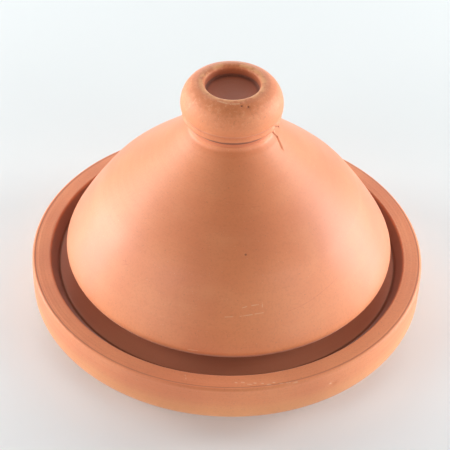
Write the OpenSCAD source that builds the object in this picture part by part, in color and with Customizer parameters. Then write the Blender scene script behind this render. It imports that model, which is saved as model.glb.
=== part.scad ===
// Tagine: a heavy round dish and a conical lid with a cupped knob, all of thrown clay.
// The origin is at the middle of the dish's foot, +Z runs up its axis, and lengths are millimetres.

/* [Dish] */
// Outside diameter of the dish
dish_d = 301; // [292:1:320]
// Height of the dish, from its foot to its rim
dish_h = 48; // [46:1:58]
// Width of the rim, from the outside wall to the gallery
rim_w = 15; // [10:1:16]
// How far the lid's ledge lies below the rim
ledge_drop = 7.8; // [5:0.1:9]
// Diameter of the flat foot
foot_d = 212; // [196:1:220]
// Thickness of the clay under the well
floor_t = 11; // [9:1:14]

/* [Lid] */
// Outside diameter of the cone at its widest
lid_d = 249; // [242:1:252]
// Height of the cone's shoulder above the dish's rim
cone_h = 126; // [112:1:150]
// Thickness of the cone's wall
wall_t = 9; // [8:0.5:10]
// How far the loose lid sits off the dish's axis
lid_shift = 1.2; // [0:0.1:2.5]

/* [Knob] */
// Outside diameter of the knob
knob_d = 74.6; // [70:0.1:80]
// Height of the knob above the ring that it is luted on with
knob_h = 23.5; // [20:0.5:30]
// Diameter of the cup in the knob's top
cup_d = 39; // [32:1:42]
// Depth of that cup
cup_depth = 7.5; // [6:0.5:12]
// How far the knob sits off the cone's axis
knob_shift = -1.2; // [-2:0.1:2]

/* [Hidden] */
$fn = 128;

// Dish
dish_r = dish_d / 2;
foot_r = foot_d / 2;
edge_bevel = 2;          // worn edge between the rim and the outside wall
rim_in_r = dish_r - rim_w;
gallery_lean = 4.5;       // how far the gallery's wall runs in, from the rim to the ledge
groove_w = 2;             // turned groove in the corner between the gallery's wall and the ledge
groove_depth = 0.7;
ledge_out_r = rim_in_r - gallery_lean;
ledge_slope = 6;          // degrees, falling inward so that condensed steam runs back
ledge_w = 33;
well_round = 6;
well_r = ledge_out_r - ledge_w;
well_lean = 25;           // degrees that the well's wall leans off upright
well_fillet = 15;
under_slope = 22;         // degrees, from the foot out to the dish's wall
under_round = 8;

// Lid
lid_r = lid_d / 2;
roll_r = 8;              // roll at the cone's widest place
roll_z = dish_h + 9;
tuck_slope = 40;         // degrees of the tucked-in underside, below the roll
seat_r = lid_r - 18.5;   // outer edge of the flat that stands on the ledge
seat_w = 3;
seat_clearance = 0.3;
neck_r = 33;             // shoulder that carries the knob
neck_base_r = 36.3;      // where the cone's slope ends and the neck begins
neck_h = 13;
stub_r = 26;             // solid stub inside the neck ring
shoulder_z = dish_h + cone_h;
neck_base_z = shoulder_z - neck_h;
ceiling_t = 11;          // clay between the inside's top and the shoulder

// Knob
ring_h = 6;
ring_r = 36;
knob_r = knob_d / 2;
knob_z = shoulder_z + ring_h;
top_z = knob_z + knob_h;
cup_r = cup_d / 2;
base_inset = 2.2;        // from the knob's widest line in to its lower edge
crest_w = 3;             // from the cup's wall out to the knob's highest line
crest_r = cup_r + crest_w;
belly_z = knob_z + 5;    // height of the knob's widest line

// Points along an arc with half axes radii = [across, up], between two angles.
function arc(centre, radii, from, to, steps = 10) =
    [for (i = [0:steps]) let (a = from + (to - from) * i / steps)
        centre + [radii[0] * cos(a), radii[1] * sin(a)]];

// The point at t on a cubic curve with end points p[0], p[3] and handles p[1], p[2].
function cubic_at(p, t) =
    pow(1 - t, 3) * p[0] + 3 * pow(1 - t, 2) * t * p[1]
    + 3 * (1 - t) * t * t * p[2] + pow(t, 3) * p[3];
function cubic(p, steps = 10, from = 0) =
    [for (i = [0:steps]) cubic_at(p, from + (1 - from) * i / steps)];

// The same curve moved to its left by d, for the far side of a wall of even thickness.
function unit(v) = v / norm(v);
function left_of(v) = [-v[1], v[0]];
function offset_at(p, t, d) =
    cubic_at(p, t) + d * left_of(unit(cubic_at(p, t + 0.001) - cubic_at(p, t - 0.001)));
function offset_cubic(p, d, steps = 10, from = 0) =
    [for (i = [0:steps]) offset_at(p, from + (1 - from) * i / steps, d)];

function reverse_of(points) = [for (i = [len(points) - 1:-1:0]) points[i]];

// Height of the ledge at a distance from the dish's axis.
function ledge_z(r) = dish_h - ledge_drop - (ledge_out_r - r) * tan(ledge_slope);

module thrown(profile) {
    rotate_extrude() polygon(profile);
}

module dish() {
    // Centre of the rounding between the sloping underside and the upright wall.
    turn_r = dish_r - under_round;
    turn_z = ((turn_r - foot_r) * sin(under_slope) + under_round) / cos(under_slope);
    // Fillets at the top and the bottom of the well's wall.
    lip = [well_r, ledge_z(well_r) - well_round];
    lip_foot = lip - [well_round * cos(well_lean), -well_round * sin(well_lean)];
    fall = lip_foot[1] - floor_t - well_fillet * (1 - sin(well_lean));
    bowl = [lip_foot[0] - fall * tan(well_lean) - well_fillet * cos(well_lean), floor_t + well_fillet];
    color([0.80, 0.50, 0.36])
    thrown(concat(
        [[0, 0], [foot_r - 2, 0]],
        arc([turn_r, turn_z], [under_round, under_round], under_slope - 90, 0),
        [[dish_r, dish_h - edge_bevel]],
        [[dish_r - edge_bevel, dish_h]],
        arc([rim_in_r + 1.5, dish_h - 1.5], [1.5, 1.5], 90, 150, 4),
        [[ledge_out_r, ledge_z(ledge_out_r)]],
        [[ledge_out_r - groove_w / 2, ledge_z(ledge_out_r) - groove_depth]],
        [[ledge_out_r - groove_w, ledge_z(ledge_out_r - groove_w)]],
        arc(lip, [well_round, well_round], 90 + ledge_slope, 180 - well_lean, 6),
        arc(bowl, [well_fillet, well_fillet], -well_lean, -90, 8),
        [[0, floor_t]]));
}

module lid_cone() {
    rise = neck_base_z - roll_z;
    flank = [[lid_r, roll_z], [lid_r, roll_z + 0.05 * rise],
             [0.91 * lid_r, roll_z + 0.23 * rise], [0.782 * lid_r, roll_z + 0.442 * rise]];
    slope = [flank[3], [0.70 * lid_r, roll_z + 0.576 * rise],
             [0.43 * lid_r, roll_z + 0.822 * rise], [neck_base_r, neck_base_z]];
    neck = [slope[3], slope[3] + 0.31 * (slope[3] - slope[2]),
            [neck_r - 3.4, shoulder_z - 9], [neck_r, shoulder_z]];
    inside_from = 0.35;   // how far up the flank the even wall starts
    seat_z = ledge_z(seat_r) + seat_clearance;
    hollow_top = shoulder_z - ceiling_t;
    wall_foot = offset_at(flank, inside_from, wall_t);
    wall_end = offset_at(slope, 1 - 0.001, wall_t);
    tuck = [[seat_r - seat_w - 2.5, seat_z + 2.5], [seat_r + 1.5, seat_z + 10],
            wall_foot + [2.6, -4.6], wall_foot];
    ceiling = [wall_end, wall_end + 0.45 * (hollow_top - wall_end[1]) * [-1, 1],
               [wall_end[0] / 2, hollow_top], [0, hollow_top]];
    color([0.82, 0.52, 0.38])
    translate([lid_shift, 0, 0]) {
        thrown(concat(
            [[seat_r - seat_w, seat_z], [seat_r, seat_z]],
            arc([lid_r - roll_r, roll_z], [roll_r, roll_r], tuck_slope - 90, 0, 8),
            cubic(flank, 8), cubic(slope, 12), cubic(neck, 8), [[0, shoulder_z]],
            reverse_of(concat(cubic(tuck, 6), offset_cubic(flank, wall_t, 6, inside_from),
                offset_cubic(slope, wall_t, 10), cubic(ceiling, 6)))));
        translate([knob_shift, 0, shoulder_z - 1]) cylinder(h = ring_h + 1, r = stub_r);
    }
}

module neck_ring() {
    color([0.78, 0.48, 0.34])
    translate([lid_shift + knob_shift, 0, 0])
    thrown(concat(
        [[stub_r, shoulder_z], [neck_r, shoulder_z], [ring_r - 1.1, shoulder_z + 0.9]],
        arc([ring_r - 0.9, shoulder_z + 3], [0.9, 2.1], -30, 60, 5),
        [[knob_r - base_inset, knob_z], [stub_r, knob_z]]));
}

module lid_knob() {
    color([0.78, 0.50, 0.36])
    translate([lid_shift + knob_shift, 0, 0])
    thrown(concat(
        [[0, knob_z], [knob_r - base_inset, knob_z]],
        [[knob_r - 0.2, belly_z - 2.5]],
        arc([crest_r, belly_z], [knob_r - crest_r, knob_h - 5], 0, 90, 14),
        arc([crest_r, top_z - 3], [crest_w, 3], 90, 180, 5),
        arc([cup_r - 3, top_z - cup_depth + 2], [2, 2], 0, -90, 4),
        [[0, top_z - cup_depth - 0.7]]));
}

dish();
lid_cone();
neck_ring();
lid_knob();
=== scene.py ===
# %% [markdown]
# # A tagine in fired clay
#
# A tagine is two loose things: a heavy round dish with a flat rim, and a tall cone of a lid with a
# cupped knob. Both were thrown on a wheel, rubbed smooth and fired without a glaze. The packed
# design gives every size. This lesson turns finer skins over its four nodes and gives them clay.

# %% The frame that everything is built around
import math
import bpy
import numpy as np
from mathutils import Matrix, Vector


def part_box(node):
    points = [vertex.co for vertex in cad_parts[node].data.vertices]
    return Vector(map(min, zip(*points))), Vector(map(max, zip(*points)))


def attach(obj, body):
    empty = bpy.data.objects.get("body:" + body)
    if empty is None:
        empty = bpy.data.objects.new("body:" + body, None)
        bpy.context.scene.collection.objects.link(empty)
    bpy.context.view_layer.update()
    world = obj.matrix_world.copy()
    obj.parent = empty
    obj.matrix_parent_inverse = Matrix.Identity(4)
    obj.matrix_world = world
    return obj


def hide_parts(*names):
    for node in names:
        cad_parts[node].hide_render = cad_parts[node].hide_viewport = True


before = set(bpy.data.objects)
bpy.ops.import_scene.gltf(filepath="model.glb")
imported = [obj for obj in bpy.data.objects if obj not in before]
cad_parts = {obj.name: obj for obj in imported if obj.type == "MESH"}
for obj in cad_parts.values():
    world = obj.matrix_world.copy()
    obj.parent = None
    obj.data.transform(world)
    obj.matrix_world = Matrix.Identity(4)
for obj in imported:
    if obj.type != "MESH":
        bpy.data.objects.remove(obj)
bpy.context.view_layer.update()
MM = 0.001

# %% [markdown]
# Every size below comes from the boxes of the four nodes, so that the skins stay where the design
# has them. The lid sits a little off the dish's axis, as a loose lid does.

# %% Sizes from the design
dish_low, dish_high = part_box("dish")
cone_low, cone_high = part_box("lid_cone")
ring_low, ring_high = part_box("neck_ring")
knob_low, knob_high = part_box("lid_knob")


def half_width(low, high):
    return min(high[0] - low[0], high[1] - low[1]) / 2


dish_r = half_width(dish_low, dish_high)
dish_h = dish_high[2]
lid_x = (cone_low[0] + cone_high[0]) / 2
lid_r = half_width(cone_low, cone_high)
seat_z = cone_low[2]
shoulder_z = ring_low[2]
bead_r = half_width(ring_low, ring_high)
knob_x = (knob_low[0] + knob_high[0]) / 2
knob_z = knob_low[2]
knob_r = half_width(knob_low, knob_high)
top_z = knob_high[2]
print("dish", dish_r, dish_h, "lid", lid_r, lid_x, "knob", knob_r, top_z)

# %% [markdown]
# ## Camera, floor and light
#
# The camera stands a little over a metre away and looks down on the pot through a long lens, so
# that the rim is a wide ellipse. It is aimed a little above the dish's rim and leans slightly.

# %% Camera
VIEW_ELEVATION = math.radians(41.6)
VIEW_DISTANCE = 1.123
VIEW_LENS = 116
VIEW_SENSOR = 36
AIM_UP = 16.7 * MM
AIM_LEFT = 2.3 * MM
LEAN = math.radians(1.8)

rim_middle = Vector((0, 0, dish_h))
back = Vector((0, -math.cos(VIEW_ELEVATION), math.sin(VIEW_ELEVATION)))
up = Vector((0, math.sin(VIEW_ELEVATION), math.cos(VIEW_ELEVATION)))
camera = bpy.data.objects.new("camera", bpy.data.cameras.new("camera"))
camera.data.lens = VIEW_LENS
camera.data.sensor_width = VIEW_SENSOR
camera.location = rim_middle + VIEW_DISTANCE * back
aim = rim_middle + AIM_UP * up + Vector((-AIM_LEFT, 0, 0))
looking = (aim - camera.location).to_track_quat("-Z", "Y")
camera.rotation_euler = (looking.to_matrix() @ Matrix.Rotation(LEAN, 3, "Z")).to_euler()
bpy.context.collection.objects.link(camera)
bpy.context.scene.camera = camera

# %% [markdown]
# The light is soft and comes mostly from the sides. Two strong panels stand low on the left and the
# right, a little behind the pot, and light the outlines of its cone and knob. Three large and weaker
# ones stand behind it, and two small ones of about that power in front. Clay that faces the camera
# stays the deepest in colour.

# %% Light
bpy.context.scene.view_settings.view_transform = "Standard"
PANEL_DISTANCE = 1.4
PANEL_AIM = Vector((0, 0, 0.08))
SIDE_WHITE = (1.0, 0.98, 0.97)
BACK_WHITE = (0.97, 0.99, 1.0)
FRONT_WHITE = (1.0, 0.98, 0.96)


def panel(name, azimuth, elevation, size, power, colour):
    """A square soft light that faces the pot from an azimuth and elevation in degrees. +X is 0
    and the camera is at 270."""
    light = bpy.data.lights.new(name, "AREA")
    light.shape = "SQUARE"
    light.size = size
    light.energy = power
    light.color = colour
    lamp = bpy.data.objects.new(name, light)
    turn, rise = math.radians(azimuth), math.radians(elevation)
    flat = Vector((math.cos(turn), math.sin(turn), 0)) * math.cos(rise)
    lamp.location = PANEL_AIM + PANEL_DISTANCE * (flat + Vector((0, 0, math.sin(rise))))
    facing = PANEL_AIM - lamp.location
    lamp.rotation_euler = facing.to_track_quat("-Z", "Y").to_euler()
    bpy.context.collection.objects.link(lamp)


panel("left_panel", 166, 10, 0.6, 19, SIDE_WHITE)
panel("right_panel", 14, 10, 0.6, 20, SIDE_WHITE)
panel("back_panel", 90, 14, 0.9, 5.5, BACK_WHITE)
panel("back_left_panel", 130, 40, 1.1, 5.5, BACK_WHITE)
panel("back_right_panel", 45, 38, 1.1, 5, BACK_WHITE)
panel("front_left_panel", 220, 18, 0.6, 6.3, FRONT_WHITE)
panel("front_right_panel", 320, 18, 0.6, 5.3, FRONT_WHITE)

# %% [markdown]
# ## Shader maths in plain Python
#
# A finish is a tree of nodes, and most of a tree is arithmetic on masks. The class below wraps an
# output socket, so that `1 - mask * 0.5` adds the Math nodes by itself.

# %% Wires and finishes


class Wire:
    """One output socket of a finish, which arithmetic can be written on."""

    def __init__(self, finish, socket):
        self.finish = finish
        self.socket = socket

    def maths(self, operation, *values, clamp=False):
        settings = {"operation": operation, "use_clamp": clamp}
        return self.finish.node("Math", settings, dict(enumerate(values)))

    def __add__(self, other):
        return self.maths("ADD", self, other)

    def __radd__(self, other):
        return self.maths("ADD", other, self)

    def __sub__(self, other):
        return self.maths("SUBTRACT", self, other)

    def __rsub__(self, other):
        return self.maths("SUBTRACT", other, self)

    def __mul__(self, other):
        return self.maths("MULTIPLY", self, other)

    def __truediv__(self, other):
        return self.maths("DIVIDE", self, other)

    def __abs__(self):
        return self.maths("ABSOLUTE", self)

    def ramp(self, low, high):
        """0 below low, 1 above high and a soft step between; low may be the larger."""
        a, b, first, last = (low, high, 0, 1) if low < high else (high, low, 1, 0)
        sockets = {"Value": self, "From Min": a, "From Max": b, "To Min": first, "To Max": last}
        return self.finish.node("MapRange", {"interpolation_type": "SMOOTHSTEP"}, sockets)


class Finish:
    """A material that is built up node by node."""

    def __init__(self, name):
        self.material = bpy.data.materials.new(name)
        self.material.use_nodes = True
        self.tree = self.material.node_tree
        self.tree.nodes.clear()

    def node(self, kind, settings, sockets, output=0):
        """Adds a node: its settings first, then a value or a wire for each socket named."""
        made = self.tree.nodes.new("ShaderNode" + kind)
        for key, value in settings.items():
            setattr(made, key, value)
        for key, value in sockets.items():
            if isinstance(value, Wire):
                self.tree.links.new(value.socket, made.inputs[key])
            else:
                made.inputs[key].default_value = value
        return Wire(self, made.outputs[output])

    def finished(self, surface):
        """Ends the tree with this surface, and gives the material."""
        end = self.tree.nodes.new("ShaderNodeOutputMaterial")
        self.tree.links.new(surface.socket, end.inputs["Surface"])
        return self.material

    def blend(self, mask, under_bead_shade, over):
        """The colour under where the mask is 0, and the colour over where it is 1."""
        colours = {0: mask, 6: rgba(under_bead_shade), 7: rgba(over)}
        return self.node("Mix", {"data_type": "RGBA"}, colours, output=2)

    def noise(self, place, size, detail, rough=0.5):
        """Noise with lumps of about this size, in metres, around 0.5."""
        sockets = {"Vector": place, "Scale": 1 / size, "Detail": detail, "Roughness": rough}
        return self.node("TexNoise", {}, sockets)


def rgba(colour):
    return colour if isinstance(colour, Wire) else (*colour, 1)


class Room(Finish):
    """The same way of building, for the tree of the world."""

    def __init__(self, world):
        self.tree = world.node_tree


# %% [markdown]
# A dim room fills the shadows a little. The camera sees it pale, so that a low view has no dark
# wall behind the pot.

# %% Room
ROOM_FILL = (0.108, 0.114, 0.12)
ROOM_SEEN = (0.86, 0.90, 0.91)
world = bpy.data.worlds.new("pale_room")
world.use_nodes = True
bpy.context.scene.world = world
room = Room(world)
seen = room.node("LightPath", {}, {}, output=0)
air = room.blend(seen, ROOM_FILL, ROOM_SEEN)
background = world.node_tree.nodes["Background"]
world.node_tree.links.new(air.socket, background.inputs["Color"])

# %% [markdown]
# The floor is a plain pale surface, big enough to fill the view, with no edge in sight. Far from the
# pot it glows, so that it stays nearly as pale as the room behind it. It is part of the stage and
# not of the pot.

# %% Floor
FLOOR_HALF = 4.0
PAPER_NEAR, PAPER_FAR = (0.90, 0.925, 0.935), (0.72, 0.76, 0.765)
GLOW_NEAR, GLOW_FAR = (0.019, 0.0195, 0.02), (0.80, 0.84, 0.85)

floor_mesh = bpy.data.meshes.new("floor")
corners = [(-FLOOR_HALF, -FLOOR_HALF, 0), (FLOOR_HALF, -FLOOR_HALF, 0),
           (FLOOR_HALF, FLOOR_HALF, 0), (-FLOOR_HALF, FLOOR_HALF, 0)]
floor_mesh.from_pydata(corners, [], [(0, 1, 2, 3)])
floor = bpy.data.objects.new("floor", floor_mesh)
bpy.context.collection.objects.link(floor)
paper = Finish("paper")
place = paper.node("TexCoord", {}, {}, output=3)
depth = paper.node("SeparateXYZ", {}, {0: place}, output=1)
distance = paper.node("VectorMath", {"operation": "LENGTH"}, {0: place}, output=1)
glow = paper.blend(distance.ramp(0.6, 1.8), GLOW_NEAR, GLOW_FAR)
tint = paper.blend(depth.ramp(-0.25, 0.30), PAPER_NEAR, PAPER_FAR)
surface = paper.node("BsdfPrincipled", {}, {"Base Color": tint, "Roughness": 0.75,
                                            "Emission Color": glow, "Emission Strength": 1.0})
floor.data.materials.append(paper.finished(surface))

# %% [markdown]
# ## Turning a skin
#
# Every piece of the pot is a turned shape, so each one is an outline swept round the axis. The
# Screw modifier could do that, but a mesh built row by row can also carry what the potter's hands
# left: throwing rings that climb in a spiral, a slight wobble, and dents where the clay was hit.

# %% Outlines


def line(start, end, steps):
    """Points from start up to, and without, end."""
    return [(start[0] + (end[0] - start[0]) * i / steps, start[1] + (end[1] - start[1]) * i / steps)
            for i in range(steps)]


def arc(middle, across, tall, start, end, steps):
    """Points along a quarter or so of an ellipse, between two angles in degrees."""
    turns = [math.radians(start + (end - start) * i / steps) for i in range(steps + 1)]
    return [(middle[0] + across * math.cos(a), middle[1] + tall * math.sin(a)) for a in turns]


def cubic_at(p, t):
    shares = ((1 - t) ** 3, 3 * (1 - t) ** 2 * t, 3 * (1 - t) * t * t, t ** 3)
    return tuple(sum(share * q[axis] for share, q in zip(shares, p)) for axis in (0, 1))


def cubic(p, steps):
    """Points along a cubic curve with ends p[0], p[3] and handles p[1], p[2]."""
    return [cubic_at(p, i / steps) for i in range(steps + 1)]


def thinned(p, thickness, steps, start=0.0):
    """The same curve from start on, moved to its left by the thickness of a wall."""
    points = []
    for i in range(steps + 1):
        t = start + (1 - start) * i / steps
        x, y = cubic_at(p, t)
        ahead, behind = cubic_at(p, t + 0.001), cubic_at(p, t - 0.001)
        run, rise = ahead[0] - behind[0], ahead[1] - behind[1]
        length = math.hypot(run, rise)
        points.append((x - thickness * rise / length, y + thickness * run / length))
    return points


# %% [markdown]
# The wheel takes an outline, the number of columns round the pot and a function for the marks in its
# surface. The axis is a function of height, because the cone leans a little towards its knob.

# %% The wheel
SHORTEST_STEP = 0.02 * MM
CALM_R = 8 * MM  # the marks fade out nearer to the axis than this


def dish_axis(z):
    return 0 * z


def lid_axis(z):
    """The cone leans a little, from its own middle at the rim's height to the knob's at the neck."""
    neck_z = shoulder_z - 12 * MM
    share = np.clip((z - dish_h) / (neck_z - dish_h), 0, 1)
    return lid_x + (knob_x - lid_x) * share


def knob_axis(z):
    return knob_x + 0 * z


def turned(name, outline, columns, relief, axis_x):
    """Sweeps an outline round the axis, whose x is axis_x(height). The outline runs from axis to
    axis, or is a loop if it doesn't start on the axis. relief gives how deep the surface lies under
    the outline, for arrays of azimuth and outline point."""
    is_loop = outline[0][0] > 0
    points = [outline[0]]
    for point in outline[1:]:
        if math.dist(point, points[-1]) > SHORTEST_STEP:
            points.append(point)
    r, z = np.array(points).T
    along = np.concatenate([[0], np.cumsum(np.hypot(np.diff(r), np.diff(z)))])
    run, rise = np.gradient(r), np.gradient(z)
    length = np.hypot(run, rise)
    out_r, out_z = rise / length, -run / length
    azimuth = np.arange(columns) * 2 * math.pi / columns
    deep = relief(azimuth[None, :], r[:, None], z[:, None], along[:, None])
    near_axis = np.clip(r / CALM_R, 0, 1)[:, None]
    deep = np.broadcast_to(deep, (len(r), columns)) * near_axis
    new_r = r[:, None] - deep * out_r[:, None]
    new_z = z[:, None] - deep * out_z[:, None]
    x = axis_x(new_z) + new_r * np.cos(azimuth)
    y = new_r * np.sin(azimuth)
    grid = np.stack([x, y, new_z], -1)
    if not is_loop:
        grid = grid[1:-1]
    rows = len(grid)
    vertices = grid.reshape(-1, 3).tolist()
    faces = []
    for row in range(rows if is_loop else rows - 1):
        low, high = row * columns, (row + 1) % rows * columns
        for column in range(columns):
            beside = (column + 1) % columns
            faces.append((low + column, low + beside, high + beside, high + column))
    if not is_loop:
        first_pole, last_pole = len(vertices), len(vertices) + 1
        vertices += [(axis_x(z[0]), 0, z[0]), (axis_x(z[-1]), 0, z[-1])]
        top = (rows - 1) * columns
        for column in range(columns):
            beside = (column + 1) % columns
            faces.append((first_pole, beside, column))
            faces.append((top + column, top + beside, last_pole))
    mesh = bpy.data.meshes.new(name)
    mesh.from_pydata(vertices, [], faces)
    mesh.validate()
    mesh.shade_smooth()
    piece = bpy.data.objects.new(name, mesh)
    bpy.context.collection.objects.link(piece)
    print(name, "has", len(mesh.vertices), "vertices and", len(mesh.polygons), "faces")
    return piece


# %% [markdown]
# What the hands left behind is a sum of a few waves and dents. Every relief is a depth and never a
# height, so that a skin can't grow out of the design.

# %% Marks of the hand


def throwing_rings(azimuth, along, pitch, depth):
    """Rings that climb by one pitch a turn, with a second and third of other widths between."""
    broad = np.sin(2 * math.pi * along / pitch + azimuth)
    close = np.sin(2 * math.pi * along / (0.43 * pitch) - azimuth + 1.3)
    fine = np.sin(2 * math.pi * along / (0.171 * pitch) + 2 * azimuth + 0.4)
    return depth * (1 + 0.5 * broad + 0.3 * close + 0.2 * fine) / 2


def wobble(azimuth, depth):
    """How far a turned piece is out of round."""
    return depth * (1 + 0.6 * np.sin(2 * azimuth + 0.4) + 0.4 * np.sin(3 * azimuth + 2.1)) / 2


def dent(azimuth, r, z, place, reach, depth):
    """A soft dent round place = (azimuth in degrees, radius, height)."""
    turn, there_r, there_z = math.radians(place[0]), place[1], place[2]
    away_x = r * np.cos(azimuth) - there_r * math.cos(turn)
    away_y = r * np.sin(azimuth) - there_r * math.sin(turn)
    away = (away_x ** 2 + away_y ** 2 + (z - there_z) ** 2) / reach ** 2
    return depth * np.exp(-away)


def groove(azimuth, r, z, path, reach, depth):
    """A crack along straight stretches between points in space."""
    x, y = r * np.cos(azimuth), r * np.sin(azimuth)
    deep = 0
    for start, end in zip(path, path[1:]):
        a, run = np.array(start), np.array(end) - np.array(start)
        share = ((x - a[0]) * run[0] + (y - a[1]) * run[1] + (z - a[2]) * run[2]) / (run @ run)
        share = np.clip(share, 0, 1)
        away = sum((p - a[i] - share * run[i]) ** 2 for i, p in enumerate((x, y, z)))
        deep = np.maximum(deep, depth * np.exp(-away / reach ** 2))
    return deep


def turned_line(azimuth, r, z, at_r, at_z, reach, depth, phase):
    """A thin ring cut by the turning tool, deeper on one side of the pot than on the other."""
    away = ((r - at_r) ** 2 + (z - at_z) ** 2) / reach ** 2
    return depth * np.exp(-away) * (0.65 + 0.35 * np.sin(azimuth + phase))


def polar(azimuth, r, z, axis_x=0.0):
    """The point at an azimuth in degrees, a radius and a height."""
    turn = math.radians(azimuth)
    return (axis_x + r * math.cos(turn), r * math.sin(turn), z)


# %% [markdown]
# ## The dish
#
# The dish stands on a flat foot that was cut off the wheel. Its underside slopes out to a thick,
# nearly upright wall with a flat rim. Inside the rim a short wall, the gallery, drops to a ledge
# that carries the lid and leans inward, so that steam that condenses on the lid runs back in.

# %% Outline of the dish
FOOT_INSET = 44.5 * MM
UNDER_ROUND = 8 * MM
RIM_W = 15 * MM
RIM_BEVEL = 2.2 * MM
GALLERY_LEAN = 4.5 * MM
GALLERY_ROUND = 1.5 * MM
LEDGE_DROP = 7.8 * MM
LEDGE_W = 33 * MM
WELL_ROUND = 6 * MM
WELL_FILLET = 15 * MM
FLOOR_T = 11 * MM
UNDER_SLOPE, LEDGE_SLOPE, WELL_LEAN = 22, 6, 25  # degrees; the last is off upright
foot_r = dish_r - FOOT_INSET
rim_in_r = dish_r - RIM_W
ledge_out_r = rim_in_r - GALLERY_LEAN
well_r = ledge_out_r - LEDGE_W


def ledge_z(r):
    return dish_h - LEDGE_DROP - (ledge_out_r - r) * math.tan(math.radians(LEDGE_SLOPE))


def dish_outline():
    slope, lean = math.radians(UNDER_SLOPE), math.radians(WELL_LEAN)
    turn_r = dish_r - UNDER_ROUND
    turn_z = ((turn_r - foot_r) * math.sin(slope) + UNDER_ROUND) / math.cos(slope)
    foot_end = (foot_r - 2 * MM, 0)
    toe = (foot_r + 1 * MM, 1.7 * MM)
    under_end = (turn_r + UNDER_ROUND * math.sin(slope), turn_z - UNDER_ROUND * math.cos(slope))
    wall_arc = arc((turn_r, turn_z), UNDER_ROUND, UNDER_ROUND, UNDER_SLOPE - 90, 0, 10)
    wall_end, edge = (dish_r, dish_h - RIM_BEVEL), (dish_r - RIM_BEVEL, dish_h)
    bevel = [wall_end, (dish_r, dish_h - 1.3 * MM), (dish_r - 1.3 * MM, dish_h), edge]
    rim_mid = (dish_r - 7 * MM, dish_h)
    rim_end = (rim_in_r + GALLERY_ROUND, dish_h)
    gallery = arc((rim_end[0], dish_h - GALLERY_ROUND), GALLERY_ROUND, GALLERY_ROUND, 90, 150, 5)
    corner = (ledge_out_r, ledge_z(ledge_out_r))
    groove_low = (ledge_out_r - 1 * MM, corner[1] - 0.7 * MM)
    ledge_start = (ledge_out_r - 2 * MM, ledge_z(ledge_out_r - 2 * MM))
    lip = (well_r, ledge_z(well_r) - WELL_ROUND)
    lip_arc = arc(lip, WELL_ROUND, WELL_ROUND, 90 + LEDGE_SLOPE, 180 - WELL_LEAN, 6)
    lip_foot = (lip[0] - WELL_ROUND * math.cos(lean), lip[1] + WELL_ROUND * math.sin(lean))
    fall = lip_foot[1] - FLOOR_T - WELL_FILLET * (1 - math.sin(lean))
    bowl_r = lip_foot[0] - fall * math.tan(lean) - WELL_FILLET * math.cos(lean)
    bowl_arc = arc((bowl_r, FLOOR_T + WELL_FILLET), WELL_FILLET, WELL_FILLET, -WELL_LEAN, -90, 9)
    return (line((0, 0), foot_end, 22) + line(foot_end, toe, 4) + line(toe, under_end, 20)
            + wall_arc + line(wall_arc[-1], wall_end, 34) + cubic(bevel, 8)
            + line(edge, rim_mid, 14) + line(rim_mid, rim_end, 12)
            + gallery + line(gallery[-1], corner, 8)
            + line(corner, groove_low, 3) + line(groove_low, ledge_start, 3)
            + line(ledge_start, lip_arc[0], 22) + lip_arc + line(lip_arc[-1], bowl_arc[0], 12)
            + bowl_arc + line(bowl_arc[-1], (0, FLOOR_T), 26) + [(0, FLOOR_T)])


# %% [markdown]
# The turning tool left thin lines beside the rim's edge and down the wall, and the edge is nicked in
# a few places. The rings are deepest in the well. The flat that the dish stands on has no marks.

# %% Marks of the dish
# Each nick is a place (azimuth in degrees, radius, height), then its reach and depth in millimetres.
RIM_NICKS = (
    ((259, dish_r - 9.5 * MM, dish_h), 1.5, 0.35),
    ((301.4, dish_r, dish_h - 13 * MM), 1.7, 1.0),
    ((284, dish_r - 1.4 * MM, dish_h - 0.4 * MM), 1.8, 0.4),
    ((289, dish_r - 1.0 * MM, dish_h - 0.8 * MM), 1.3, 0.4),
    ((247, dish_r - 1.2 * MM, dish_h - 0.6 * MM), 1.4, 0.3),
    ((110, dish_r - 1.2 * MM, dish_h - 0.6 * MM), 2.6, 0.5),
    ((35, rim_in_r + 0.4 * MM, dish_h - 1 * MM), 2.0, 0.4),
    ((152, dish_r, dish_h - 9 * MM), 2.2, 0.35),
    ((318, dish_r - 1.0 * MM, dish_h - 0.8 * MM), 1.5, 0.3),
)
# Each line on the wall is its distance under the rim, then its depth, both in millimetres.
WALL_LINES = ((2.6, 0.22), (4.1, 0.16), (5.9, 0.12), (8.2, 0.10))


def dish_relief(azimuth, r, z, along):
    on_foot = z < 0.2 * MM
    rings = throwing_rings(azimuth, along, 5.5 * MM, 0.12 * MM)
    in_well = (r < well_r) & (z > 5 * MM)
    rings = rings + in_well * throwing_rings(azimuth, along, 9 * MM, 0.6 * MM)
    cuts = turned_line(azimuth, r, z, dish_r - 2.9 * MM, dish_h, 0.6 * MM, 0.35 * MM, 3.9)
    cuts = cuts + turned_line(azimuth, r, z, dish_r - 4.3 * MM, dish_h, 0.5 * MM, 0.16 * MM, 4.6)
    for down, depth in WALL_LINES:
        height = dish_h - down * MM
        cuts = cuts + turned_line(azimuth, r, z, dish_r, height, 0.5 * MM, depth * MM, 3.1 + down)
    nicks = 0
    for place, reach, depth in RIM_NICKS:
        nicks = nicks + dent(azimuth, r, z, place, reach * MM, depth * MM)
    return np.where(on_foot, 0.0, rings + wobble(azimuth, 0.4 * MM) + cuts + nicks)


dish = turned("dish_skin", dish_outline(), 400, dish_relief, dish_axis)
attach(dish, "dish")
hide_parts("dish")

# %% [markdown]
# ## The cone
#
# The lid was thrown upside down as a deep bowl, and its mouth was gathered in, so the cone is
# widest a little above its foot. The wall keeps one thickness up to a rounded ceiling. A solid stub
# on the shoulder carries the knob.

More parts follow.
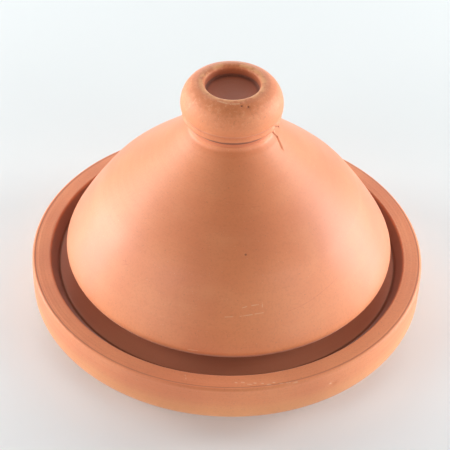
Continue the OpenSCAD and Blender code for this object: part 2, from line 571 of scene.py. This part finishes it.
# %% Outline of the cone
WALL_T = 9 * MM
ROLL_R = 8 * MM
NECK_R = 33 * MM
STUB_R = 26 * MM
SEAT_INSET = 18.5 * MM
SEAT_W = 3 * MM
ROLL_LIFT = 9 * MM
NECK_BASE_R = 36.3 * MM
NECK_H = 13 * MM
CEILING_T = 11 * MM
seat_r = lid_r - SEAT_INSET
roll_z = dish_h + ROLL_LIFT
neck_base = (NECK_BASE_R, shoulder_z - NECK_H)
hollow_top = shoulder_z - CEILING_T
WALL_START = 0.35  # where the wall's inside begins, as a share of the flank
RUN_ON = 0.31      # how far the slope's line runs on into the neck


def cone_outline():
    rise = neck_base[1] - roll_z
    flank = [(lid_r, roll_z), (lid_r, roll_z + 0.05 * rise),
             (0.91 * lid_r, roll_z + 0.23 * rise), (0.782 * lid_r, roll_z + 0.442 * rise)]
    slope = [flank[3], (0.70 * lid_r, roll_z + 0.576 * rise),
             (0.43 * lid_r, roll_z + 0.822 * rise), neck_base]
    run_on = (neck_base[0] + RUN_ON * (neck_base[0] - slope[2][0]),
              neck_base[1] + RUN_ON * (neck_base[1] - slope[2][1]))
    neck = [neck_base, run_on, (NECK_R - 3.4 * MM, shoulder_z - 9 * MM), (NECK_R, shoulder_z)]
    wall_foot = thinned(flank, WALL_T, 1, WALL_START)[0]
    wall_end = thinned(slope, WALL_T, 1, 0.999)[0]
    tuck = [(seat_r - 5.5 * MM, seat_z + 2.5 * MM), (seat_r + 1.5 * MM, seat_z + 10 * MM),
            (wall_foot[0] + 2.6 * MM, wall_foot[1] - 4.6 * MM), wall_foot]
    reach = 0.45 * (hollow_top - wall_end[1])
    ceiling = [wall_end, (wall_end[0] - reach, wall_end[1] + reach),
               (wall_end[0] / 2, hollow_top), (0, hollow_top)]
    inside = (cubic(tuck, 14) + thinned(flank, WALL_T, 26, WALL_START) + thinned(slope, WALL_T, 40)
              + cubic(ceiling, 22))
    seat_in, seat_out = (seat_r - SEAT_W, seat_z), (seat_r, seat_z)
    roll = arc((lid_r - ROLL_R, roll_z), ROLL_R, ROLL_R, -50, 0, 12)
    return (inside[::-1] + line(inside[0], seat_in, 3) + line(seat_in, seat_out, 4)
            + line(seat_out, roll[0], 12) + roll + cubic(flank, 36) + cubic(slope, 62)
            + cubic(neck, 40) + line((NECK_R, shoulder_z), (0, shoulder_z), 8) + [(0, shoulder_z)])


# %% [markdown]
# The neck has two cracks, and the longer one runs on across the ring above it. A crack is a path of a
# few points on the outside, so that the relief can cut it and the clay can darken it in one place.

# %% Marks of the cone


def on_cone(azimuth, height):
    """The point of the cone's outside at an azimuth in degrees and a height over the rim."""
    z = dish_h + height
    outside = [p for p in cone_outline() if p[1] < shoulder_z - 0.1 * MM]
    widest = max(range(len(outside)), key=lambda i: outside[i][0])
    radii, heights = zip(*outside[widest:])
    return polar(azimuth, float(np.interp(z, heights, radii)), z, float(lid_axis(z)))


NECK_CRACK = [on_cone(a, h * MM) for a, h in ((337, 125.5), (343, 121.5), (345, 118), (345.5, 115),
                                              (341, 112), (338, 109.5))]
RING_CRACK = [polar(329, bead_r, knob_z - 0.5 * MM), polar(333, bead_r, knob_z - 2.5 * MM),
              polar(335, bead_r - 2 * MM, shoulder_z + 0.5 * MM)]
SHORT_CRACK = [on_cone(a, h * MM) for a, h in ((9, 118.5), (8.6, 116.5), (7, 115))]


def cone_relief(azimuth, r, z, along):
    rings = throwing_rings(azimuth, along, 7 * MM, 0.045 * MM)
    inside = along < 215 * MM
    rings = rings + inside * throwing_rings(azimuth, along, 11 * MM, 0.5 * MM)
    held = z > shoulder_z - 0.1 * MM
    splits = 0
    for path in (NECK_CRACK, SHORT_CRACK):
        middle = [(p[0] - lid_axis(p[2]), p[1], p[2]) for p in path]
        splits = np.maximum(splits, groove(azimuth, r, z, middle, 0.7 * MM, 1.0 * MM))
    neck_z = shoulder_z - 1.3 * MM
    band = np.clip((z - shoulder_z + 6.0 * MM) / (0.6 * MM), 0, 1)
    splits = splits + 0.6 * MM * np.exp(-((z - neck_z) / (0.8 * MM)) ** 2)
    splits = splits + band * (0.35 * MM + throwing_rings(azimuth, along, 2.1 * MM, 0.35 * MM))
    pits = dent(azimuth, r, z, (278.5, 85 * MM, dish_h + 68 * MM), 0.9 * MM, 0.5 * MM)
    return np.where(held, 0.0, rings + wobble(azimuth, 0.4 * MM) + pits + splits)


cone = turned("cone_skin", cone_outline(), 360, cone_relief, lid_axis)
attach(cone, "lid")
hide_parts("lid_cone")

# %% [markdown]
# ## The neck ring and the knob
#
# A coil of clay pressed round the stub joins the knob to the cone, and shows as a bead between two
# grooves. The knob above it is a thick ring of clay with a shallow cup in its top.

# %% Neck ring


def ring_outline():
    bead = arc((bead_r - 1.1 * MM, knob_z - 2.6 * MM), 1.1 * MM, 2.1 * MM, -75, 60, 18)
    low = (NECK_R - 1 * MM, shoulder_z + 0.1 * MM)
    high = (knob_r - 2.1 * MM, knob_z - 0.1 * MM)
    inner_low, inner_high = (STUB_R + 0.1 * MM, low[1]), (STUB_R + 0.1 * MM, high[1])
    return (line(low, bead[0], 5) + bead + line(bead[-1], high, 3) + line(high, inner_high, 4)
            + line(inner_high, inner_low, 4) + line(inner_low, low, 4))


def ring_relief(azimuth, r, z, along):
    pressed = 0.25 * MM * (1 + np.sin(17 * azimuth) * np.sin(5 * azimuth + 1)) / 2
    seen = r > STUB_R + 1 * MM
    split = groove(azimuth, r, z, RING_CRACK, 0.8 * MM, 0.4 * MM)
    return np.where(seen, pressed + split + throwing_rings(azimuth, along, 3 * MM, 0.08 * MM), 0.0)


ring = turned("neck_ring_skin", ring_outline(), 240, ring_relief, knob_axis)
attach(ring, "lid")
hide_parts("neck_ring")

# %% [markdown]
# The knob is widest low down and rounds over to a narrow crest. The cup inside the crest has an
# upright wall and a floor that falls slightly to its middle. Two pits show in front and one behind.

# %% Knob
CUP_R = 19.5 * MM
CUP_DEPTH = 7.5 * MM
CREST_W = 3 * MM
BELLY_LIFT = 5 * MM
FRONT_PITS = ((284, 27.5 * MM, top_z - 1.6 * MM), (293, 28.7 * MM, top_z - 2.3 * MM))


def knob_outline():
    crest_r = CUP_R + CREST_W
    belly_z = knob_z + BELLY_LIFT
    base = (knob_r - 2.2 * MM, knob_z)
    flank = (knob_r - 0.2 * MM, belly_z - 2.5 * MM)
    outer = arc((crest_r, belly_z), knob_r - crest_r, top_z - belly_z, 0, 90, 34)
    inner = arc((crest_r, top_z - CREST_W), CREST_W, CREST_W, 90, 180, 10)
    corner = arc((CUP_R - 1 * MM, top_z - CUP_DEPTH + 0.7 * MM), 0.7 * MM, 0.7 * MM, 0, -90, 5)
    floor_mid = (0, top_z - CUP_DEPTH - 0.7 * MM)
    return (line((0, knob_z), base, 8) + line(base, flank, 5) + line(flank, outer[0], 4) + outer
            + inner + line(inner[-1], corner[0], 8) + corner + line(corner[-1], floor_mid, 14)
            + [floor_mid])


def knob_relief(azimuth, r, z, along):
    rings = throwing_rings(azimuth, along, 4.5 * MM, 0.14 * MM)
    pits = 0
    for place in FRONT_PITS:
        pits = pits + dent(azimuth, r, z, place, 0.9 * MM, 0.5 * MM)
    pits = pits + dent(azimuth, r, z, (50, 21.8 * MM, top_z), 1.1 * MM, 0.6 * MM)
    for height, depth in ((6.2, 0.10), (3.4, 0.22), (1.9, 0.12)):
        line_z = knob_z + height * MM
        pits = pits + turned_line(azimuth, r, z, knob_r, line_z, 0.9 * MM, depth * MM, height)
    held = z < knob_z + 0.1 * MM
    return np.where(held, 0.0, rings + wobble(azimuth, 0.35 * MM) + pits)


knob = turned("knob_skin", knob_outline(), 240, knob_relief, knob_axis)
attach(knob, "lid")
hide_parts("lid_knob")

# %% [markdown]
# ## Fired clay
#
# Earthenware fires to a warm orange that drifts from pink to buff. A wet thumb and a rib rub the
# skin smooth, so it has a slight sheen, with turned streaks that run round the pot, pale grains of
# grog and small dark ones of iron. One recipe makes all three clays, and each adds its own marks.

# %% The colours and the clay body
DEEP, MID, PALE = (0.70, 0.205, 0.074), (0.80, 0.262, 0.096), (0.85, 0.37, 0.165)
RED_CRUMB = (0.50, 0.14, 0.05)
IRON = (0.30, 0.10, 0.05)
GROG = (0.85, 0.56, 0.36)
SCRAPED = (0.90, 0.60, 0.40)
# Near-black brown, for cracks and pits, and also for painted shade in corners, grooves and creases.
CRACK_AND_SHADE = (0.19, 0.052, 0.020)
# Red brown, for scuffs and hair scratches, and also for the painted shade round the cone's neck.
SCUFF_AND_SHADE = (0.60, 0.135, 0.05)
SHEEN_TINT = (1.0, 0.97, 0.95, 1)


class Clay(Finish):
    """Fired clay, with masks in the pot's own coordinates to paint marks with."""

    def __init__(self, name):
        super().__init__(name)
        self.place = self.node("TexCoord", {}, {}, output=3)
        self.x = self.node("SeparateXYZ", {}, {0: self.place}, output=0)
        self.y = self.node("SeparateXYZ", {}, {0: self.place}, output=1)
        self.z = self.node("SeparateXYZ", {}, {0: self.place}, output=2)
        square = self.x * self.x + self.y * self.y
        self.r = square.maths("SQRT", square)
        self.crumbs = self.noise(self.place, 1.6 * MM, 2)

    def vector(self, operation, first, second, output=0):
        return self.node("VectorMath", {"operation": operation}, {0: first, 1: second}, output)

    def streaks(self, width):
        """Noise drawn out round the pot, with lines about this wide."""
        around_x, around_y = self.x / self.r * 1.3, self.y / self.r * 1.3
        across = self.z / width
        spun = self.node("CombineXYZ", {}, {0: around_x, 1: around_y, 2: across})
        sockets = {"Vector": spun, "W": self.r / width, "Scale": 1.0, "Detail": 2.0}
        return self.node("TexNoise", {"noise_dimensions": "4D"}, sockets)

    def away_from(self, start, end):
        """How far the surface is from a straight stretch between two points."""
        run = Vector(end) - Vector(start)
        offset = self.vector("SUBTRACT", self.place, tuple(start))
        if run.length < 0.01 * MM:
            return self.vector("LENGTH", offset, (0, 0, 0), output=1)
        share = self.vector("DOT_PRODUCT", offset, tuple(run / run.length_squared), output=1)
        share = share.maths("ADD", share, 0.0, clamp=True)
        along = self.node("CombineXYZ", {}, {i: share * run[i] for i in range(3)})
        return self.vector("LENGTH", self.vector("SUBTRACT", offset, along), (0, 0, 0), output=1)

    def stroke(self, path, width):
        """1 on a line through these points, and 0 beyond half its width."""
        if len(path) == 1:
            path = [path[0], path[0]]
        away = None
        for start, end in zip(path, path[1:]):
            one = self.away_from(start, end)
            away = one if away is None else away.maths("MINIMUM", away, one)
        return away.ramp(width * 0.5, width * 0.15)

    def strokes(self, paths, width, broken=0.0):
        """Several strokes in one mask, broken up by the crumbs of the clay."""
        mask = None
        for path in paths:
            one = self.stroke(path, width)
            mask = one if mask is None else mask.maths("MAXIMUM", mask, one)
        if not broken:
            return mask
        return mask * self.crumbs.ramp(0.5 - 0.2 / (broken + 0.2), 0.5 + 0.1 * broken)

    def body(self, deep, mid, pale):
        """The clay's own colour, before any mark."""
        cloud = self.noise(self.place, 85 * MM, 3)
        patch = self.noise(self.place, 26 * MM, 4, 0.55)
        turned_fine = self.streaks(1.1 * MM)
        turned_broad = self.streaks(7 * MM)
        colour = self.blend(cloud.ramp(0.32, 0.68), deep, mid)
        colour = self.blend(patch.ramp(0.42, 0.80) * 0.22, colour, pale)
        colour = self.blend(turned_broad.ramp(0.45, 0.80) * 0.10, colour, pale)
        colour = self.blend(turned_fine.ramp(0.50, 0.80) * 0.16, colour, deep)
        specks = self.noise(self.place, 1.3 * MM, 1).ramp(0.70, 0.78)
        grog = self.noise(self.place, 0.9 * MM, 1).ramp(0.72, 0.80)
        colour = self.blend(self.crumbs.ramp(0.45, 0.70) * 0.16, colour, RED_CRUMB)
        colour = self.blend(specks * 0.35, colour, IRON)
        self.relief = turned_fine * 0.5 + self.crumbs * 0.25 + self.noise(self.place, 0.5 * MM, 1) * 0.35
        self.sheen_patch = patch
        return self.blend(grog * 0.35, colour, GROG)

    def fired(self, colour, roughness, deep_marks):
        """Ends the tree. deep_marks is a mask of what is cut into the surface."""
        height = self.relief - deep_marks * 3.0
        sockets = {"Strength": 0.75, "Distance": 0.16 * MM, "Height": height}
        bump = self.node("Bump", {}, sockets)
        rough = self.sheen_patch * 0.16 + (roughness - 0.08) + deep_marks * 0.5
        sockets = {"Base Color": colour, "Roughness": rough, "Normal": bump,
                   "Specular IOR Level": 0.75,
                   "Sheen Weight": 0.18, "Sheen Roughness": 0.50, "Sheen Tint": SHEEN_TINT}
        return self.finished(self.node("BsdfPrincipled", {}, sockets))


# %% [markdown]
# The dish is the same clay. Below the rim the gallery and the ledge are painted darker, as painted
# shade in the channel under the lid, and its rim carries nicks and pale scrapes from the lid.

# %% Clay of the dish
# The next three colours are painted shade: below the rim, on the gallery wall and in the groove by the
# rim's edge.
INNER_SHADE = (0.44, 0.15, 0.072)
GALLERY_WALL_SHADE = (0.24, 0.082, 0.042)
EDGE_GROOVE_SHADE = (0.42, 0.12, 0.05)
BUFF = (0.86, 0.43, 0.17)


def on_rim(azimuth, inset):
    return polar(azimuth, dish_r - inset * MM, dish_h)


def dish_clay():
    clay = Clay("dish_clay")
    colour = clay.body(DEEP, MID, PALE)
    # Below the rim and inside its radius the colour is painted darker, as painted shade of the gallery
    # and the ledge.
    below_rim = clay.z.ramp(dish_h - 0.6 * MM, dish_h - 2.6 * MM)
    inside = clay.r.ramp(rim_in_r + 1.8 * MM, rim_in_r)
    inner_shade = below_rim * inside
    colour = clay.blend(inner_shade * 0.75, colour, INNER_SHADE)
    # The gallery's wall is painted darker still, as painted shade.
    wall_shade = clay.r.ramp(ledge_out_r - 0.6 * MM, ledge_out_r + 0.2 * MM) * inner_shade
    colour = clay.blend(wall_shade * 0.55, colour, GALLERY_WALL_SHADE)
    # A near-black ring in the corner at the foot of the gallery wall is painted shade of the crevice
    # there.
    corner = abs(clay.r - (ledge_out_r - 1 * MM)).ramp(1.6 * MM, 0.3 * MM)
    colour = clay.blend(corner * inner_shade * 0.8, colour, CRACK_AND_SHADE)
    # The turned groove by the rim's edge is painted darker, as painted shade in the groove.
    edge = abs(clay.r - (dish_r - 2.9 * MM)).ramp(0.7 * MM, 0.2 * MM)
    edge = edge * clay.z.ramp(dish_h - 2 * MM, dish_h - 1 * MM)
    colour = clay.blend(edge * 0.6, colour, EDGE_GROOVE_SHADE)
    low_wall = clay.z.ramp(dish_h - 10 * MM, dish_h - 26 * MM) * clay.r.ramp(well_r, foot_r)
    colour = clay.blend(low_wall * 0.40, colour, BUFF)
    scrapes = [[on_rim(259, 11), on_rim(259.6, 7.5)], [on_rim(247, 3.4), on_rim(251, 3.0)],
               [on_rim(347.5, 6.4)], [on_rim(3.5, 10.6)]]
    for k in range(9):
        azimuth, inset = 273.5 + 1.75 * k, 7.6 - 0.62 * k + 0.9 * math.sin(2.3 * k)
        scrapes.append([on_rim(azimuth, inset), on_rim(azimuth + 0.5 + 0.25 * (k % 3), inset - 0.35)])
    pale = clay.strokes(scrapes, 1.3 * MM, 0.6)
    colour = clay.blend(pale * 0.55, colour, SCRAPED)
    chip = [polar(300.6, dish_r, dish_h - 12 * MM), polar(301.4, dish_r, dish_h - 13.6 * MM)]
    nick = clay.strokes([chip, [on_rim(289, 0.8), on_rim(290.4, 1.0)]], 2.2 * MM)
    colour = clay.blend(nick * 0.5, colour, SCRAPED)
    return clay.fired(colour, 0.60, corner * inner_shade)


dish.data.materials.append(dish_clay())

# %% [markdown]
# The cone was rubbed the smoothest. It has a crack that starts under the neck ring, a shorter one
# beside it, a red scuff, a pit, and hair scratches from handling. Under its roll, inside its mouth,
# round its neck and in the groove under the ring it is painted darker, as painted shade.

# %% Clay of the cone
SHADED = (0.34, 0.11, 0.055)


def cone_path(*stops):
    """A path on the cone through (azimuth, height over the rim in millimetres)."""
    return [on_cone(azimuth, height * MM) for azimuth, height in stops]


def cone_clay():
    clay = Clay("lid_clay")
    colour = clay.body(DEEP, MID, PALE)
    # Under the roll and inside the mouth the cone is painted darker, as painted shade.
    under_roll = clay.z.ramp(dish_h + 10 * MM, dish_h + 2 * MM)
    inner = clay.z.ramp(dish_h + 3 * MM, dish_h - 5 * MM)
    colour = clay.blend(under_roll * 0.45 + inner * 0.25, colour, SHADED)
    # A band round the neck under the ring is painted darker in streaks, as painted shade under the knob.
    neck = clay.z.ramp(shoulder_z - 6.2 * MM, shoulder_z - 5.2 * MM)
    streaked_shade = 0.42 + clay.streaks(0.9 * MM).ramp(0.35, 0.7) * 0.25
    colour = clay.blend(neck * streaked_shade, colour, SCUFF_AND_SHADE)
    # The groove under the bead is painted near black, as painted shade.
    groove_shade = clay.z.ramp(shoulder_z - 2.9 * MM, shoulder_z - 1.9 * MM)
    colour = clay.blend(groove_shade * 0.9, colour, CRACK_AND_SHADE)
    scratches = [cone_path((269.6, 33.5), (272.5, 33.8)), cone_path((275, 34), (279.5, 34.6)),
                 cone_path((280.5, 34.8), (283.5, 35)), cone_path((276, 39), (277.6, 39.6)),
                 cone_path((279.5, 40), (282, 40.2)), cone_path((283.6, 41), (283.4, 38.5)),
                 cone_path((257.6, 9.5), (261, 9.8)), cone_path((298, 73.5))]
    pale = clay.strokes(scratches, 0.9 * MM, 0.5)
    colour = clay.blend(pale * 0.5, colour, SCRAPED)
    hairs = [cone_path((293, 33), (297, 33.6), (302, 34.8), (307, 36.4), (312, 38), (317, 39.6)),
             cone_path((268, 93), (272, 93)), cone_path((276, 92), (281, 91.4)),
             cone_path((286, 90), (291, 89.6)), cone_path((206, 60), (209, 63)),
             cone_path((200, 40), (202, 43), (203, 46))]
    colour = clay.blend(clay.strokes(hairs, 0.8 * MM, 0.5) * 0.4, colour, SCUFF_AND_SHADE)
    scuffs = [cone_path((223.8, 48.2), (225.6, 45.6)), cone_path((224.6, 45), (226.4, 46.2)),
              cone_path((223.4, 46.6), (225.2, 47.4))]
    colour = clay.blend(clay.strokes(scuffs, 1.5 * MM, 0.4) * 0.7, colour, SCUFF_AND_SHADE)
    pit = clay.stroke(cone_path((278.5, 68)), 2.2 * MM)
    splits = clay.strokes([NECK_CRACK[:3], SHORT_CRACK], 3.6 * MM)
    splits = splits.maths("MAXIMUM", splits, clay.stroke(NECK_CRACK[2:4], 3.0 * MM))
    fading = clay.strokes([NECK_CRACK[3:]], 0.9 * MM, 0.2)
    splits = splits.maths("MAXIMUM", splits, fading * 0.7)
    splits = splits.maths("MAXIMUM", splits, pit * 0.8)
    colour = clay.blend(splits * 0.9, colour, CRACK_AND_SHADE)
    return clay.fired(colour, 0.53, splits)


cone.data.materials.append(cone_clay())

# %% [markdown]
# The knob is what every hand holds. Its top is painted brown in patches, with golden patches along
# the crest that are partly a painted highlight, and its cup is painted the darkest of all, as painted
# shade in the hollow.

# %% Clay of the knob and the neck ring
TOP_BROWN = (0.66, 0.18, 0.048)
GOLD_AND_HIGHLIGHT = (0.92, 0.46, 0.17)
CUP_SHADE = (0.36, 0.07, 0.02)
WORN_PALE = (0.92, 0.50, 0.26)
WORN_DARK = (0.46, 0.13, 0.045)
CREST_SCRAPE = (0.86, 0.52, 0.28)


def knob_clay():
    clay = Clay("knob_clay")
    colour = clay.body(DEEP, MID, PALE)
    # The top of the knob is painted brown in patches.
    blotches = clay.noise(clay.place, 9 * MM, 4, 0.6)
    top = clay.z.ramp(top_z - 9 * MM, top_z - 2 * MM)
    colour = clay.blend(top * blotches.ramp(0.30, 0.55) * 0.7, colour, TOP_BROWN)
    # The crest is painted golden in patches: partly the clay's own colour and partly a painted highlight
    # on the crest's edge.
    crest = abs(clay.r - 22.0 * MM).ramp(3.4 * MM, 0.6 * MM)
    crest = crest * clay.z.ramp(top_z - 2.5 * MM, top_z - 0.5 * MM)
    gold_and_highlight = blotches.ramp(0.58, 0.44) * crest
    colour = clay.blend(gold_and_highlight * 0.5, colour, GOLD_AND_HIGHLIGHT)
    # The cup is painted the darkest, as painted shade in the hollow.
    cup_shade = clay.r.ramp(20.3 * MM, 19.4 * MM) * clay.z.ramp(top_z - 0.8 * MM, top_z - 3.5 * MM)
    cup_shade = cup_shade * clay.z.ramp(knob_z + 1 * MM, knob_z + 3 * MM)
    colour = clay.blend(cup_shade * 0.8, colour, CUP_SHADE)
    # The crease where the cup's wall meets its floor is painted near black, as painted shade.
    crease_shade = abs(clay.z - (top_z - 7.4 * MM)).ramp(1.5 * MM, 0.3 * MM)
    crease_shade = crease_shade * clay.r.ramp(16 * MM, 18.4 * MM) * clay.r.ramp(20.6 * MM, 20 * MM)
    colour = clay.blend(crease_shade * 0.8, colour, CRACK_AND_SHADE)
    # The underside of the ring's bead is painted near black, as painted shade.
    under_bead_shade = clay.z.ramp(shoulder_z + 2.8 * MM, shoulder_z + 1.6 * MM)
    colour = clay.blend(under_bead_shade * 0.8, colour, CRACK_AND_SHADE)
    flecks = clay.noise(clay.place, 2.4 * MM, 3, 0.6)
    worn = clay.z.ramp(knob_z + 6 * MM, knob_z + 14 * MM)
    colour = clay.blend(worn * flecks.ramp(0.54, 0.70) * 0.26 * (1 - cup_shade), colour, WORN_PALE)
    colour = clay.blend(worn * flecks.ramp(0.44, 0.30) * 0.35, colour, WORN_DARK)
    clay.relief = clay.relief + flecks * 0.5
    pit_paths = [[polar(*place)] for place in FRONT_PITS] + [[polar(50, 22 * MM, top_z)]]
    pits = clay.strokes(pit_paths, 2.0 * MM)
    split = [(x + knob_x, y, z) for x, y, z in RING_CRACK]
    pits = pits.maths("MAXIMUM", pits, clay.stroke(split, 2.0 * MM))
    colour = clay.blend(pits * 0.8, colour, CRACK_AND_SHADE)
    scraped = [[polar(247, 25 * MM, top_z - 0.6 * MM), polar(262, 25.6 * MM, top_z - 0.8 * MM)],
               [polar(268, 26 * MM, top_z - 0.9 * MM), polar(281, 25.8 * MM, top_z - 0.8 * MM)]]
    colour = clay.blend(clay.strokes(scraped, 1.6 * MM, 0.6) * 0.6, colour, CREST_SCRAPE)
    return clay.fired(colour, 0.62, pits)


knob_finish = knob_clay()
knob.data.materials.append(knob_finish)
ring.data.materials.append(knob_finish)
